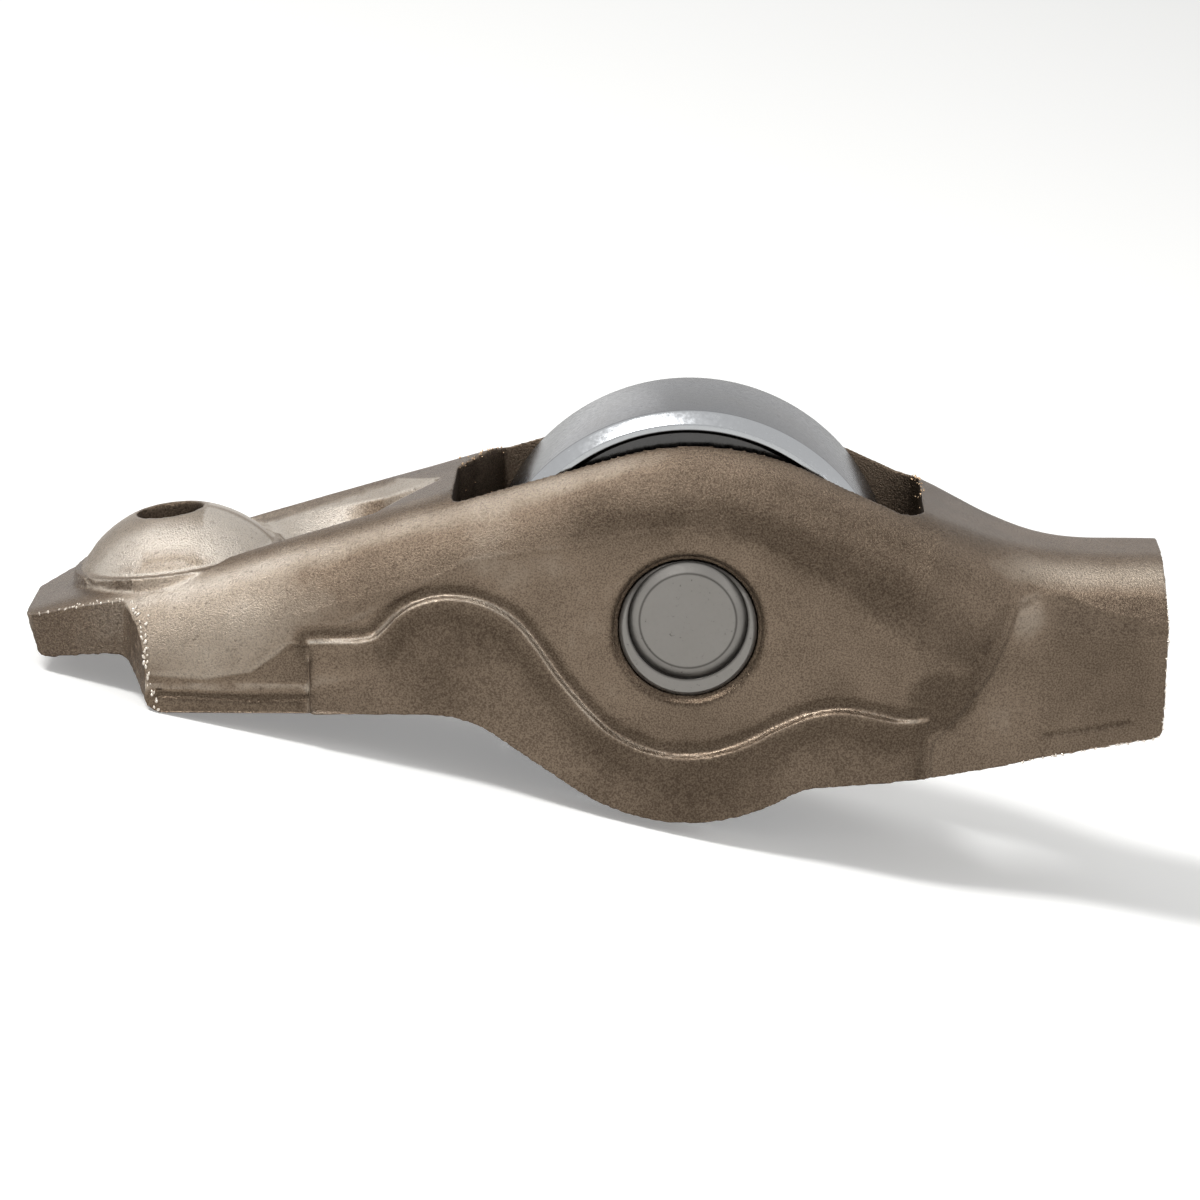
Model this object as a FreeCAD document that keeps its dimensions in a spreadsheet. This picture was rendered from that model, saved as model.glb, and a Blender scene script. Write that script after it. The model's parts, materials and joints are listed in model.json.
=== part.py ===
import FreeCAD, Part
import math
import os
import re
import Sketcher

# Roller finger follower: a rocker arm folded from thick steel sheet, with a roller on needles.
# The arm is drawn in its own drawing frame: axle centre at 0, X from pivot end to valve end, Z up.
# Every piece then gets one placement, which lays the arm down on roller and heel as it rests.

doc = FreeCAD.newDocument("rocker_arm")
sheet = doc.addObject("Spreadsheet::Sheet", "sizes")

# Driving dimensions in millimetres and degrees
SIZES = {
    # folded sheet
    "steel": 2.35,
    "bend_radius": 4.0,
    "wall_half": 7.6,
    "valve_half": 5.4,
    "skirt_step": 0.3,
    # web line, seen from the side
    "tongue_end": 34.1,
    "arch_x": 1.4,
    "arch_top": 10.34,
    "arch_radius": 14.0,
    "pivot_slope": 16.3,
    "valve_slope": 24.8,
    "valve_web": 2.76,
    "valve_web_radius": 16.0,
    "valve_end": 24.35,
    "end_bulge": 0.22,
    "bulge_depth": 0.4,
    "bulge_radius": 8.0,
    # wall edges, seen from the side
    "tongue_depth": 2.42,
    "wall_start_depth": 1.95,
    "tongue_corner": 0.7,
    "tongue_draft": 0.8,
    "wall_start": 28.75,
    "wall_start_radius": 1.0,
    "heel_x": 27.35,
    "heel_depth": 4.6,
    "heel_radius": 1.4,
    "belly_radius": 10.2,
    "belly_ramp": 34.4,
    "belly_rise": 29.3,
    "ramp_radius": 6.0,
    "rise_radius": 3.0,
    "rise_length": 1.1,
    "keel_x": 16.4,
    "keel_depth": 7.62,
    "keel_radius": 6.0,
    "toe_depth": 6.22,
    "toe_radius": 0.8,
    # wall ends and the inward jog, seen from above
    "tongue_half": 4.8,
    "tongue_round": 1.2,
    "tongue_land": 3.0,
    "tongue_lip": 1.9,
    "flare_x": 28.8,
    "flare_half": 5.8,
    "flare_radius": 0.5,
    "wall_front": 27.6,
    "clipped_x": 32.1,
    "clipped_half": 4.9,
    "clipped_round": 1.5,
    "clipped_tip": 1.2,
    "jog_start": 11.8,
    "jog_end": 17.6,
    "jog_radius": 7.0,
    "jog_lead": 2.0,
    # roller slot
    "slot_front": 12.0,
    "slot_rear": 11.95,
    "slot_corner": 1.6,
    "slot_sharp": 0.5,
    "break_width": 3.6,
    "break_run": 2.3,
    # pivot socket
    "pivot_x": 26.11,
    "pivot_depth": 1.47,
    "pivot_lean": 8.0,
    "ball_radius": 3.97,
    "ball_clearance": 0.04,
    "dome_radius": 6.25,
    "dome_flat": 5.95,
    "dome_root": 2.4,
    "pad_radius": 5.45,
    "pad_height": 3.65,
    "foot_flare": 0.25,
    "oil_radius": 1.68,
    # trough between socket and slot
    "trough_start": 24.0,
    "trough_break": 16.0,
    "trough_tip": 13.0,
    "trough_floor": 2.8,
    "trough_half": 5.2,
    "trough_waist": 5.6,
    "trough_point": 0.3,
    "point_shoulder": 0.2,
    "point_floor": 0.1,
    "trough_floor_half": 0.8,
    "shoulder_start": 4.4,
    "shoulder_waist": 1.8,
    "shoulder_sink": 0.55,
    "start_sink": 0.25,
    "tip_sink": 0.1,
    "trough_rise": 0.3,
    "valley_steel": 1.9,
    # step on the walls above their coined lower zone
    "step_start_x": 19.2,
    "step_start_z": 0.95,
    "step_tail_x": 15.9,
    "step_tail_radius": 0.8,
    "step_tail_z": 0.5,
    "step_hump_left": 13.6,
    "step_hump_right": 9.05,
    "step_hump_z": 1.7,
    "step_hump_radius": 3.2,
    "step_crest_radius": 4.5,
    "step_valley_left": 3.45,
    "step_valley_right": 2.4,
    "step_valley_z": 6.35,
    "step_valley_radius": 3.0,
    "step_shelf_x": 6.9,
    "step_shelf_z": 4.0,
    "step_shelf_radius": 2.0,
    "shelf_end_x": 10.2,
    "shelf_end_z": 4.65,
    # axle pin and its holes
    "axle_radius": 3.5,
    "axle_fit": 0.02,
    "axle_recess": 0.12,
    "axle_chamfer": 0.2,
    "hole_chamfer": 0.35,
    "stake_offset": 0.42,
    "stake_radius": 2.75,
    "stake_width": 0.6,
    "stake_depth": 0.3,
    # needles and roller
    "needle_radius": 0.75,
    "needle_inset": 0.6,
    "needle_play": 0.03,
    "roller_radius": 10.65,
    "roller_play": 0.25,
    "roller_chamfer": 0.6,
    "roller_relief": 0.15,
    "relief_rim": 0.9,
    "rib_radius": 6.4,
    # how far cuts run past the arm
    "past": 6.0,
}
NEEDLES = 17


def fill_sheet():
    """Writes each driving dimension beside its name and gives its cell that alias."""
    for row, (name, value) in enumerate(SIZES.items(), start=1):
        sheet.set("A%d" % row, name)
        sheet.set("B%d" % row, str(value))
        sheet.setAlias("B%d" % row, name)
    doc.recompute()


def bound(text):
    """The expression text with each size's name pointed at its cell."""
    return re.sub(r"[a-z_]+", lambda word: "sizes." + word[0] if word[0] in SIZES else word[0], text)


def value(text):
    """The number that an expression gives now."""
    return float(sheet.evalExpression(bound(text)))


def bind(thing, prop, text):
    thing.setExpression(prop, bound(text))


fill_sheet()

# Corners of the web line and of the wall edges, as expressions in the drawing frame
WEB_END_Z = "arch_top - (arch_x + tongue_end) * tan(pivot_slope)"
WEB_VALVE_X = "arch_x + (arch_top - valve_web) / tan(valve_slope)"
BELLY_REACH = "belly_radius / cos((belly_ramp + belly_rise) / 2)"
BELLY_X = "%s * sin((belly_rise - belly_ramp) / 2)" % BELLY_REACH
BELLY_Z = "-%s * cos((belly_rise - belly_ramp) / 2)" % BELLY_REACH
RAMP_X = "%s - (-heel_depth - (%s)) / tan(belly_ramp)" % (BELLY_X, BELLY_Z)
RISE_X = "belly_radius * sin(belly_rise) + rise_length * cos(belly_rise)"
RISE_Z = "rise_length * sin(belly_rise) - belly_radius * cos(belly_rise)"
INNER_SHIFT = "steel * (1 / cos(pivot_slope) - 1 / cos(valve_slope)) / (tan(pivot_slope) + tan(valve_slope))"
INNER_ARCH_X = "arch_x + %s" % INNER_SHIFT
INNER_ARCH_Z = "arch_top + %s * tan(pivot_slope) - steel / cos(pivot_slope)" % INNER_SHIFT
INNER_VALVE_X = "%s + (%s - valve_web + steel) / tan(valve_slope)" % (INNER_ARCH_X, INNER_ARCH_Z)
HEEL = ("-heel_x", "-heel_depth", "heel_radius")
WALL_START = ("-wall_start", "-wall_start_depth", "wall_start_radius")
JOG_SHIFT = "steel * tan(atan((wall_half - valve_half) / (jog_end - jog_start)) / 2)"
NEEDLE_PITCH = "axle_radius + needle_play + needle_radius"
NEEDLE_TRACK = "axle_radius + 2 * needle_play + 2 * needle_radius"
ROLLER_HALF = "wall_half - steel - roller_play"
RELIEF_RADIUS = "roller_radius - relief_rim"


def attach(body, sketch, role, offset="0"):
    """Lays a sketch on one of its own body's origin planes, moved along that plane's normal."""
    plane = next(item for item in body.Origin.OriginFeatures if item.Role == role)
    sketch.AttachmentSupport = [(plane, "")]
    sketch.MapMode = "FlatFace"
    if offset != "0":
        bind(sketch, ".AttachmentOffset.Base.z", offset)


def hold_point(sketch, geometry, end, x, y):
    """Holds a point of the sketch by its distances from the origin."""
    for kind, text in (("DistanceX", x), ("DistanceY", y)):
        place = sketch.addConstraint(Sketcher.Constraint(kind, -1, 1, geometry, end, value(text)))
        bind(sketch, "Constraints[%d]" % place, text)


def corner_arc(before, corner, after, radius):
    """The arc of a rounded corner, and the tangent points that it has on the two lines."""
    to_before = (before - corner).normalize()
    to_after = (after - corner).normalize()
    half = to_before.getAngle(to_after) / 2
    start = corner + to_before * (radius / math.tan(half))
    end = corner + to_after * (radius / math.tan(half))
    middle = corner + (to_before + to_after).normalize() * (radius / math.sin(half) - radius)
    return start, end, Part.Arc(start, middle, end)


def draw_outline(sketch, corners):
    """Adds a closed outline of straight lines, with a round of its own radius where a corner has one."""
    points = [FreeCAD.Vector(value(x), value(y), 0) for x, y, *_ in corners]
    count = len(points)
    starts = list(points)
    ends = list(points)
    arcs = {}
    for index, (_, _, *radius) in enumerate(corners):
        if radius:
            around = (points[index - 1], points[index], points[(index + 1) % count])
            ends[index], starts[index], arcs[index] = corner_arc(*around, value(radius[0]))
    lines = []
    for index in range(count):
        line = Part.LineSegment(starts[index], ends[(index + 1) % count])
        lines.append(sketch.addGeometry(line))
    for index, (x, y, *radius) in enumerate(corners):
        before = lines[index - 1]
        after = lines[index]
        if not radius:
            sketch.addConstraint(Sketcher.Constraint("Coincident", before, 2, after, 1))
            hold_point(sketch, after, 1, x, y)
            continue
        corner = sketch.addGeometry(Part.Point(points[index]), True)
        hold_point(sketch, corner, 1, x, y)
        sketch.addConstraint(Sketcher.Constraint("PointOnObject", corner, 1, before))
        sketch.addConstraint(Sketcher.Constraint("PointOnObject", corner, 1, after))
        arc = sketch.addGeometry(arcs[index])
        first = sketch.getPoint(arc, 1)
        forward = first.distanceToPoint(ends[index]) < first.distanceToPoint(starts[index])
        near, far = (1, 2) if forward else (2, 1)
        sketch.addConstraint(Sketcher.Constraint("Tangent", before, 2, arc, near))
        sketch.addConstraint(Sketcher.Constraint("Tangent", arc, far, after, 1))
        place = sketch.addConstraint(Sketcher.Constraint("Radius", arc, value(radius[0])))
        bind(sketch, "Constraints[%d]" % place, radius[0])


def new_sketch(body, name, role, offset="0"):
    sketch = body.newObject("Sketcher::SketchObject", name)
    attach(body, sketch, role, offset)
    return sketch


def pad(body, name, sketch, length):
    """A pad that grows both ways from its sketch."""
    feature = body.newObject("PartDesign::Pad", name)
    feature.Profile = sketch
    feature.Midplane = True
    bind(feature, "Length", length)
    doc.recompute()
    return feature


def pocket_through(body, name, sketch):
    """A pocket that cuts both ways from its sketch, past everything."""
    before = body.Shape.Volume
    feature = body.newObject("PartDesign::Pocket", name)
    feature.Profile = sketch
    feature.Midplane = True
    feature.Type = "ThroughAll"
    doc.recompute()
    assert feature.Shape.Volume < before, name + " cuts nothing"
    return feature


def pocket_outward(body, name, sketch):
    """A pocket that cuts from a sketch on the near wall face outwards, copied to the far wall."""
    before = body.Shape.Volume
    feature = body.newObject("PartDesign::Pocket", name)
    feature.Profile = sketch
    feature.Type = "ThroughAll"
    feature.Reversed = True
    doc.recompute()
    assert feature.Shape.Volume < before, name + " cuts nothing"
    mirror = body.newObject("PartDesign::Mirrored", name + "Mirror")
    mirror.Originals = [feature]
    plane = next(item for item in body.Origin.OriginFeatures if item.Role == "XZ_Plane")
    mirror.MirrorPlane = (plane, [""])
    body.Tip = mirror
    doc.recompute()
    return mirror


def fillet(body, name, edges, radius):
    """A fillet on edges of the body's tip, given by their numbers."""
    base = body.Tip
    feature = body.newObject("PartDesign::Fillet", name)
    feature.Base = (base, ["Edge%d" % number for number in edges])
    bind(feature, "Radius", radius)
    doc.recompute()
    return feature


def bend_edges(shape):
    """Numbers of the long edges where the web, which spans both walls, meets a wall."""
    found = []
    for number, edge in enumerate(shape.Edges, start=1):
        middle = edge.valueAt((edge.FirstParameter + edge.LastParameter) / 2)
        up = False
        side = False
        for face in shape.ancestorsOfType(edge, Part.Face):
            normal = face.normalAt(*face.Surface.parameter(middle))
            box = face.BoundBox
            if normal.z > 0.4 and box.YMin < 0 < box.YMax:
                up = True
            if abs(normal.y) > 0.5:
                side = True
        if up and side:
            found.append(number)
    return found


def narrow_valve_end(body, inset, shift, round_start, round_end):
    """Cuts both sides in plan where the walls step inwards to the valve end, in an easy S.

    The proud lower zone runs out into the walls over the lead before it.
    """
    sketch = new_sketch(body, body.Name + "JogPlan", "XY_Plane")
    lead = "jog_start - jog_lead - %s" % shift
    for sign in ("", "-"):
        draw_outline(sketch, [
            (lead, "%s(wall_half + skirt_step - %s)" % (sign, inset)),
            ("jog_start - %s" % shift, "%s(wall_half - %s)" % (sign, inset), round_start),
            ("jog_end - %s" % shift, "%s(valve_half - %s)" % (sign, inset), round_end),
            ("valve_end + past", "%s(valve_half - %s)" % (sign, inset)),
            ("valve_end + past", "%s(wall_half + past)" % sign),
            (lead, "%s(wall_half + past)" % sign),
        ])
    pocket_through(body, body.Name + "Jog", sketch)


def trim_tongue(body, inset):
    """Cuts the tongue free in plan at the pivot end: a straight near edge and a clipped far corner."""
    sketch = new_sketch(body, body.Name + "TonguePlan", "XY_Plane")
    draw_outline(sketch, [
        ("-wall_front", "-(wall_half + past)"),
        ("-wall_front", "-wall_half"),
        ("-flare_x", "-(flare_half - %s)" % inset, "flare_radius"),
        ("-tongue_end", "-(tongue_half - %s)" % inset, "tongue_round"),
        ("-tongue_end", "-(tongue_half - %s - tongue_land)" % inset),
        ("-tongue_end - past", "-(tongue_half - %s - tongue_land)" % inset),
        ("-tongue_end - past", "-(wall_half + past)"),
    ])
    draw_outline(sketch, [
        ("-wall_front", "wall_half + past"),
        ("-wall_front", "wall_half"),
        ("-flare_x", "flare_half - %s" % inset, "flare_radius"),
        ("-clipped_x", "clipped_half - %s" % inset, "clipped_round"),
        ("-tongue_end", "clipped_tip"),
        ("-tongue_end - past", "clipped_tip"),
        ("-tongue_end - past", "wall_half + past"),
    ])
    pocket_through(body, body.Name + "Tongue", sketch)


def build_shell():
    """The folded form as if solid: side outline, wall steps, inward jog, long bends and tongue."""
    body = doc.addObject("PartDesign::Body", "arm_shell")
    side = new_sketch(body, "SideOutline", "XZ_Plane")
    draw_outline(side, [
        ("-tongue_end", WEB_END_Z),
        ("arch_x", "arch_top", "arch_radius"),
        (WEB_VALVE_X, "valve_web", "valve_web_radius"),
        ("valve_end", "valve_web"),
        ("valve_end + end_bulge", "-bulge_depth", "bulge_radius"),
        ("valve_end", "-toe_depth", "toe_radius"),
        ("keel_x", "-keel_depth", "keel_radius"),
        (RISE_X, RISE_Z, "rise_radius"),
        (BELLY_X, BELLY_Z, "belly_radius"),
        (RAMP_X, "-heel_depth", "ramp_radius"),
        HEEL,
        WALL_START,
        ("-tongue_end + tongue_draft", "-tongue_depth", "tongue_corner"),
    ])
    pad(body, "Blank", side, "2 * (wall_half + skirt_step)")
    step_walls(body)
    narrow_valve_end(body, "0", "0", "jog_radius", "jog_radius")
    fillet(body, "Bends", bend_edges(body.Shape), "bend_radius")
    trim_tongue(body, "0")
    return body


def step_walls(body):
    """Sets the wall faces back above the curved step, so that the coined lower zone stands proud."""
    sketch = new_sketch(body, "StepOutline", "XZ_Plane", "wall_half")
    draw_outline(sketch, [
        ("-tongue_end - past", "-belly_radius - past"),
        ("-step_start_x", "-belly_radius - past"),
        ("-step_start_x", "-step_start_z"),
        ("-step_tail_x", "-step_tail_z", "step_tail_radius"),
        ("-step_hump_left", "step_hump_z", "step_hump_radius"),
        ("-step_hump_right", "step_hump_z", "step_crest_radius"),
        ("-step_valley_left", "-step_valley_z", "step_valley_radius"),
        ("step_valley_right", "-step_valley_z", "step_valley_radius"),
        ("step_shelf_x", "-step_shelf_z", "step_shelf_radius"),
        ("shelf_end_x", "-shelf_end_z", "step_shelf_radius"),
        ("valve_end + past", "-shelf_end_z"),
        ("valve_end + past", "arch_top + past"),
        ("-tongue_end - past", "arch_top + past"),
    ])
    pocket_outward(body, "WallStep", sketch)


def build_hollow():
    """The room between the walls, one sheet thickness inside the folded form all the way round."""
    body = doc.addObject("PartDesign::Body", "arm_hollow")
    side = new_sketch(body, "HollowOutline", "XZ_Plane")
    run = "(%s + tongue_end + past)" % INNER_ARCH_X
    draw_outline(side, [
        ("-tongue_end - past", "%s - %s * tan(pivot_slope)" % (INNER_ARCH_Z, run)),
        (INNER_ARCH_X, INNER_ARCH_Z, "arch_radius - steel"),
        (INNER_VALVE_X, "valve_web - steel", "valve_web_radius + steel"),
        ("valve_end + past", "valve_web - steel"),
        ("valve_end + past", "-belly_radius - past"),
        ("-tongue_end - past", "-belly_radius - past"),
    ])
    pad(body, "HollowBlank", side, "2 * (wall_half - steel)")
    narrow_valve_end(body, "steel", JOG_SHIFT, "jog_radius - steel", "jog_radius + steel")
    fillet(body, "HollowBends", bend_edges(body.Shape), "bend_radius - steel")
    trim_tongue(body, "tongue_lip")
    return body


def lean(thing, along="0"):
    """Places a form on the socket's leaning axis, a distance along it from the ball's centre."""
    thing.Placement.Rotation = FreeCAD.Rotation(FreeCAD.Vector(0, -1, 0), 1)
    bind(thing, ".Placement.Rotation.Angle", "pivot_lean")
    bind(thing, ".Placement.Base.x", "-pivot_x - (%s) * sin(pivot_lean)" % along)
    bind(thing, ".Placement.Base.z", "-pivot_depth + (%s) * cos(pivot_lean)" % along)


def cylinder(name, radius, height):
    form = doc.addObject("Part::Cylinder", name)
    bind(form, "Radius", radius)
    bind(form, "Height", height)
    return form


def sphere(name, radius):
    form = doc.addObject("Part::Sphere", name)
    bind(form, "Radius", radius)
    return form


def boolean(kind, name, base, tool):
    """A Part::Cut or Part::Common of two objects."""
    result = doc.addObject(kind, name)
    result.Base = base
    result.Tool = tool
    doc.recompute()
    return result


def fuse(name, forms):
    result = doc.addObject("Part::MultiFuse", name)
    result.Shapes = forms
    doc.recompute()
    return result


def build_slot():
    """The window in the web that the roller stands in, with its far pivot-side corner broken away."""
    body = doc.addObject("PartDesign::Body", "slot_window")
    sketch = new_sketch(body, "SlotPlan", "XY_Plane")
    draw_outline(sketch, [
        ("-slot_front", "-(wall_half - steel)", "slot_sharp"),
        ("slot_rear", "-(wall_half - steel)", "slot_corner"),
        ("slot_rear", "wall_half - steel", "slot_corner"),
        ("-slot_front + break_run", "wall_half - steel"),
        ("-slot_front", "wall_half - steel - break_width", "slot_sharp"),
    ])
    pad(body, "SlotWindow", sketch, "2 * (arch_top + past)")
    return body


def cone(name, low, high, height):
    form = doc.addObject("Part::Cone", name)
    bind(form, "Radius1", low)
    bind(form, "Radius2", high)
    bind(form, "Height", height)
    return form


def build_axle_holes():
    """The two in-line holes that carry the axle pin, with a chamfer on each wall's outer face."""
    bore = cylinder("axle_bore", "axle_radius + axle_fit", "2 * (wall_half + past)")
    bore.Placement.Rotation = FreeCAD.Rotation(FreeCAD.Vector(1, 0, 0), 90)
    bind(bore, ".Placement.Base.y", "wall_half + past")
    forms = [bore]
    for name, sign, angle in (("near", "-", 90), ("far", "", -90)):
        low = "axle_radius + axle_fit"
        rim = cone("axle_rim_" + name, low, low + " + 2 * hole_chamfer", "2 * hole_chamfer")
        rim.Placement.Rotation = FreeCAD.Rotation(FreeCAD.Vector(1, 0, 0), angle)
        bind(rim, ".Placement.Base.y", "%s(wall_half - hole_chamfer)" % sign)
        forms.append(rim)
    return fuse("axle_holes", forms)


def build_dome():
    """The socket pressed up out of the web: a ball-shaped cap with a flat top on a low round foot."""
    ball = sphere("dome_ball", "dome_radius")
    lean(ball)
    band = cylinder("dome_band", "pad_radius", "dome_flat - dome_root")
    lean(band, "dome_root")
    foot = cone("dome_foot", "pad_radius + foot_flare", "pad_radius", "pad_height - dome_root")
    lean(foot, "dome_root")
    return fuse("dome", [boolean("Part::Common", "dome_cap", ball, band), foot])


def build_trough(drop, name):
    """The pressed valley from the socket up to a point before the slot, lowered by drop.

    Each section has a rim, a gently sunk shoulder inside it and a flat floor.
    """
    body = doc.addObject("PartDesign::Body", name)
    web = "(%s + (tongue_end - %%s) * tan(pivot_slope))" % WEB_END_Z
    floor = "trough_floor"
    tip = web % "trough_tip"
    sections = (
        ("trough_start", "trough_half", "shoulder_start", "start_sink", "trough_floor_half", floor),
        ("trough_break", "trough_waist", "shoulder_waist", "shoulder_sink", "trough_floor_half", floor),
        ("trough_tip", "trough_point", "point_shoulder", "tip_sink", "point_floor", tip),
    )
    sketches = []
    for index, (place, half, shoulder, sink, floor_half, floor) in enumerate(sections):
        sketch = new_sketch(body, "%sSection%d" % (name, index), "YZ_Plane", "-%s" % place)
        rim = "%s + trough_rise - (%s)" % (web % place, drop)
        bend = "%s - (%s) - (%s)" % (web % place, sink, drop)
        draw_outline(sketch, [
            ("-(%s)" % half, rim),
            ("-(%s)" % shoulder, bend),
            ("-(%s)" % floor_half, "%s - tip_sink - (%s)" % (floor, drop)),
            (floor_half, "%s - tip_sink - (%s)" % (floor, drop)),
            (shoulder, bend),
            (half, rim),
        ])
        sketches.append(sketch)
    doc.recompute()
    loft = body.newObject("PartDesign::AdditiveLoft", name + "Loft")
    loft.Profile = sketches[0]
    loft.Sections = sketches[1:]
    loft.Ruled = True
    doc.recompute()
    return body


def build_arm():
    """The whole stamping: folded sheet, hollow, slot, axle holes, socket, valley and oil hole."""
    folded = boolean("Part::Cut", "folded_sheet", build_shell(), build_hollow())
    windowed = boolean("Part::Cut", "sheet_with_slot", folded, build_slot())
    drilled = boolean("Part::Cut", "sheet_with_holes", windowed, build_axle_holes())
    swell = fuse("sheet_with_swell", [drilled, build_trough("valley_steel", "valley_swell")])
    clear = cylinder("socket_pad_clear", "pad_radius", "2 * past")
    lean(clear, "pad_height")
    valley = fuse("valley_and_pad", [clear, build_trough("0", "valley")])
    opened = boolean("Part::Cut", "sheet_with_valley", swell, valley)
    raised = fuse("sheet_with_dome", [opened, build_dome()])
    socket = sphere("ball_room", "ball_radius + ball_clearance")
    lean(socket)
    oil = cylinder("oil_hole", "oil_radius", "dome_radius + past")
    lean(oil)
    bores = fuse("socket_and_oil_hole", [socket, oil])
    return boolean("Part::Cut", "rocker_body", raised, bores)


def revolve(body, sketch):
    """A solid turned about the body's Y axis."""
    feature = body.newObject("PartDesign::Revolution", body.Name + "Turned")
    feature.Profile = sketch
    feature.ReferenceAxis = (sketch, ["V_Axis"])
    feature.Angle = 360
    doc.recompute()
    return feature


def build_roller():
    """The hardened ring that the cam runs on, turned with a chamfer, a relieved side and a plain bore."""
    body = doc.addObject("PartDesign::Body", "roller")
    sketch = new_sketch(body, "RollerSection", "XY_Plane")
    near = [
        (NEEDLE_TRACK, ROLLER_HALF),
        ("rib_radius", ROLLER_HALF),
        ("rib_radius + roller_relief", ROLLER_HALF + " - roller_relief"),
        (RELIEF_RADIUS + " - roller_relief", ROLLER_HALF + " - roller_relief"),
        (RELIEF_RADIUS, ROLLER_HALF),
        ("roller_radius - roller_chamfer", ROLLER_HALF),
        ("roller_radius", ROLLER_HALF + " - roller_chamfer"),
    ]
    far = [(x, "-(%s)" % y) for x, y in reversed(near)]
    draw_outline(sketch, near + far)
    revolve(body, sketch)
    return body


def build_axle():
    """The pin across the walls, chamfered, with an off-centre ring struck into each end to stake it."""
    body = doc.addObject("PartDesign::Body", "axle_blank")
    sketch = new_sketch(body, "AxleSection", "XY_Plane")
    half = "wall_half - axle_recess"
    draw_outline(sketch, [
        ("0", "-(%s)" % half),
        ("axle_radius - axle_chamfer", "-(%s)" % half),
        ("axle_radius", "-(%s - axle_chamfer)" % half),
        ("axle_radius", "%s - axle_chamfer" % half),
        ("axle_radius - axle_chamfer", half),
        ("0", half),
    ])
    revolve(body, sketch)
    rings = []
    for name, sign, angle in (("near", "-", 90), ("far", "", -90)):
        outside = "stake_radius + stake_width / 2"
        disc = cylinder("stake_disc_" + name, outside, "2 * stake_depth")
        core = cone("stake_core_" + name, outside, "stake_radius - stake_width / 2", "stake_depth")
        for form in (disc, core):
            form.Placement.Rotation = FreeCAD.Rotation(FreeCAD.Vector(1, 0, 0), angle)
            bind(form, ".Placement.Base.y", "%s(%s - stake_depth)" % (sign, half))
            bind(form, ".Placement.Base.z", "stake_offset")
        rings.append(boolean("Part::Cut", "stake_ring_" + name, disc, core))
    return boolean("Part::Cut", "axle_pin", body, fuse("stake_rings", rings))


def build_needle(name):
    """One loose needle about its own middle, a plain ground roller."""
    body = doc.addObject("PartDesign::Body", name)
    sketch = new_sketch(body, name + "Section", "XY_Plane")
    half = "(%s - needle_inset)" % ROLLER_HALF
    draw_outline(sketch, [
        ("0", "-%s" % half),
        ("needle_radius", "-%s" % half),
        ("needle_radius", half),
        ("0", half),
    ])
    revolve(body, sketch)
    return body


def place_needle(needle, index, rest):
    """Sets a needle in its place in the ring around the pin."""
    turn = FreeCAD.Rotation(FreeCAD.Vector(0, 1, 0), 360.0 * index / NEEDLES)
    offset = turn.multVec(FreeCAD.Vector(value(NEEDLE_PITCH), 0, 0))
    needle.Placement = rest.multiply(FreeCAD.Placement(offset, turn))


def rest_placement():
    """Turns the drawing frame so that heel and roller stand on one level, with the ball's centre at 0."""
    edge = (WALL_START, HEEL, (RAMP_X, "-heel_depth"))
    corners = [FreeCAD.Vector(value(x), value(z), 0) for x, z, *_ in edge]
    heel = corner_arc(*corners, value("heel_radius"))[2].toShape().Curve.Center
    rise = math.atan2(-heel.y, -heel.x)
    tilt = rise - math.asin((value("roller_radius") - value("heel_radius")) / math.hypot(heel.x, heel.y))
    turn = FreeCAD.Rotation(FreeCAD.Vector(0, 1, 0), math.degrees(tilt))
    ball = FreeCAD.Vector(-value("pivot_x"), 0, -value("pivot_depth"))
    return FreeCAD.Placement(turn.multVec(ball).negative(), turn)


def check_and_export(pieces):
    """Refuses a failed object or an unsound shape, then writes each piece to its own file."""
    doc.recompute()
    for thing in doc.Objects:
        assert not {"Invalid", "Error"} & set(thing.State), thing.Name + " failed"
    os.makedirs("parts", exist_ok=True)
    for piece in pieces:
        assert not piece.Shape.isNull() and piece.Shape.isValid(), piece.Label + " is unsound"
        assert len(piece.Shape.Solids) == 1, piece.Label + " is not one solid"
        piece.Shape.exportStep("parts/%s.step" % piece.Label)


rest = rest_placement()
held = [build_arm(), build_axle(), build_roller()]
needles = [build_needle("needle_%02d" % (index + 1)) for index in range(NEEDLES)]
for piece in held:
    piece.Placement = rest
for index, needle in enumerate(needles):
    place_needle(needle, index, rest)
for piece in held + needles:
    piece.Label = piece.Name
check_and_export(held + needles)
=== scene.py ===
import json
import math

import bmesh
import bpy
import numpy as np
from mathutils import Matrix, Vector, noise


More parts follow.
